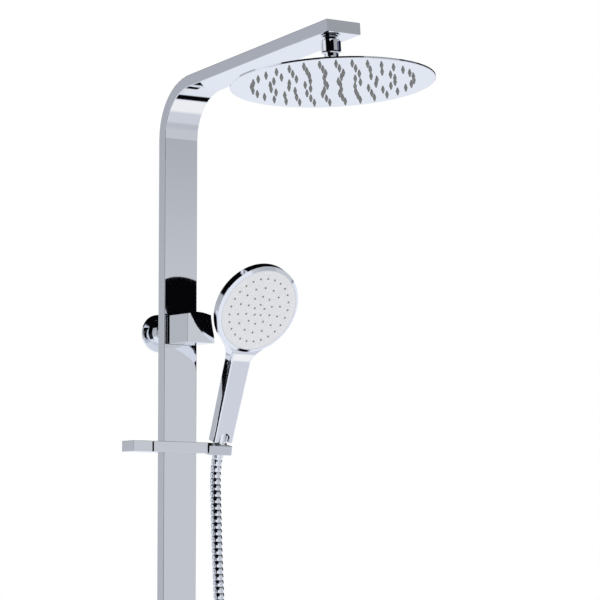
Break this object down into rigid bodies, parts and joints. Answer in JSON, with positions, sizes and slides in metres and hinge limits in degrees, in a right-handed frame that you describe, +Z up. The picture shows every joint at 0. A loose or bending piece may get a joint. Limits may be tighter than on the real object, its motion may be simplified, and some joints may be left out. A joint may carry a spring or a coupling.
{
  "type": "rainfall shower column",
  "caption": "Wall-mounted shower column with a round overhead on a bent flat arm, a diverter, and a hand shower on a sliding holder with a hose.",
  "frame": {"origin": "centre of the upper wall flange, on the wall, at the mouth of the water inlet", "axes": "+Z up along the column, +Y into the wall, +X to the right of a person who faces the wall"},
  "size_m": [0.2569, 0.5141, 1.5224],
  "materials": {
    "chrome_steel": "polished",
    "chrome_brass": "polished",
    "chrome_plastic": "chrome plated",
    "brass": "machined",
    "steel": "satin",
    "ceramic": "polished",
    "rubber": "matt",
    "silicone": "satin",
    "white_plastic": "matt",
    "pale_face": "satin",
    "metal_hose": "ribbed metal over a plastic tube"
  },
  "bodies": {
    "column": {"column_tube": "chrome_steel", "arm_end_cap": "chrome_steel", "column_foot_cap": "chrome_steel", "upper_flange": "chrome_steel", "upper_boss": "chrome_steel", "lower_flange": "chrome_steel", "lower_boss": "chrome_steel", "bracket_grub_screws": "steel", "water_inlet": "chrome_brass", "inlet_washer": "rubber", "lower_wall_plate": "steel", "lower_post": "chrome_brass", "lower_fixing_screws": "steel", "diverter_manifold": "brass", "feed_tube_upper": "steel", "feed_tube_lower": "steel", "arm_outlet_block": "brass", "diverter_collar": "chrome_brass", "diverter_cartridge": "brass", "diverter_fixed_disc": "ceramic", "cartridge_nut": "brass", "outlet_nipple": "chrome_brass", "swivel_nut": "chrome_brass", "ball_stem": "chrome_brass", "hose_outlet": "chrome_brass", "hose_bottom_nut": "chrome_brass", "hose": "metal_hose"},
    "diverter": {"diverter_handle": "chrome_brass", "diverter_spindle": "brass", "diverter_turning_disc": "ceramic", "diverter_grub_screw": "steel"},
    "swivel": {"socket_ring": "white_plastic"},
    "overhead": {"socket_nut": "chrome_brass", "overhead_hub": "chrome_brass", "overhead_top_shell": "chrome_steel", "overhead_screws": "steel", "overhead_face_plate": "chrome_steel", "overhead_nozzle_mat": "silicone"},
    "slider": {"slider_body": "chrome_plastic", "slider_back_cover": "chrome_plastic", "slider_screws": "steel", "slider_liner": "white_plastic", "lock_shoe": "rubber", "button_spring": "steel"},
    "button": {"release_button": "chrome_plastic", "button_stem": "chrome_brass"},
    "holder": {"holder_block": "chrome_plastic", "holder_cone_liner": "white_plastic", "holder_shaft": "chrome_brass", "holder_washer": "white_plastic"},
    "handset": {"handset_shell": "chrome_plastic", "handset_trim_ring": "chrome_plastic", "handset_face_plate": "pale_face", "handset_nozzle_mat": "silicone", "handset_seal": "rubber", "handset_waterway": "white_plastic", "handset_thread_insert": "brass", "hose_washer_top": "rubber", "hose_cone_nut": "chrome_brass"}
  },
  "joints": [
    {"name": "diverter_turn", "type": "hinge", "parent": "column", "child": "diverter", "pos_m": [0, -0.07, 0], "axis": [0, 1, 0], "range_deg": [0, 90]},
    {"name": "overhead_spin", "type": "hinge", "parent": "column", "child": "swivel", "pos_m": [0, -0.38768, 0.29932], "axis": [0, 0.0872, 0.9962], "continuous": true},
    {"name": "overhead_tilt", "type": "hinge", "parent": "swivel", "child": "overhead", "pos_m": [0, -0.38768, 0.29932], "axis": [1, 0, 0], "range_deg": [-15, 15]},
    {"name": "slider_travel", "type": "slide", "parent": "column", "child": "slider", "axis": [0, 0, 1], "range_m": [-0.3, 0.12], "deforming": ["hose"]},
    {"name": "release_button", "type": "slide", "parent": "slider", "child": "button", "axis": [1, 0, 0], "range_m": [0, 0.0018], "stiffness_N_per_m": 800},
    {"name": "holder_tilt", "type": "hinge", "parent": "slider", "child": "holder", "pos_m": [0.06, -0.0428, -0.1504], "axis": [1, 0, 0], "range_deg": [-1, 35], "deforming": ["hose"]},
    {"name": "handset_lift", "type": "slide", "parent": "holder", "child": "handset", "axis": [0, -0.3584, 0.9336], "range_m": [0, 0.025], "deforming": ["hose"]}
  ]
}
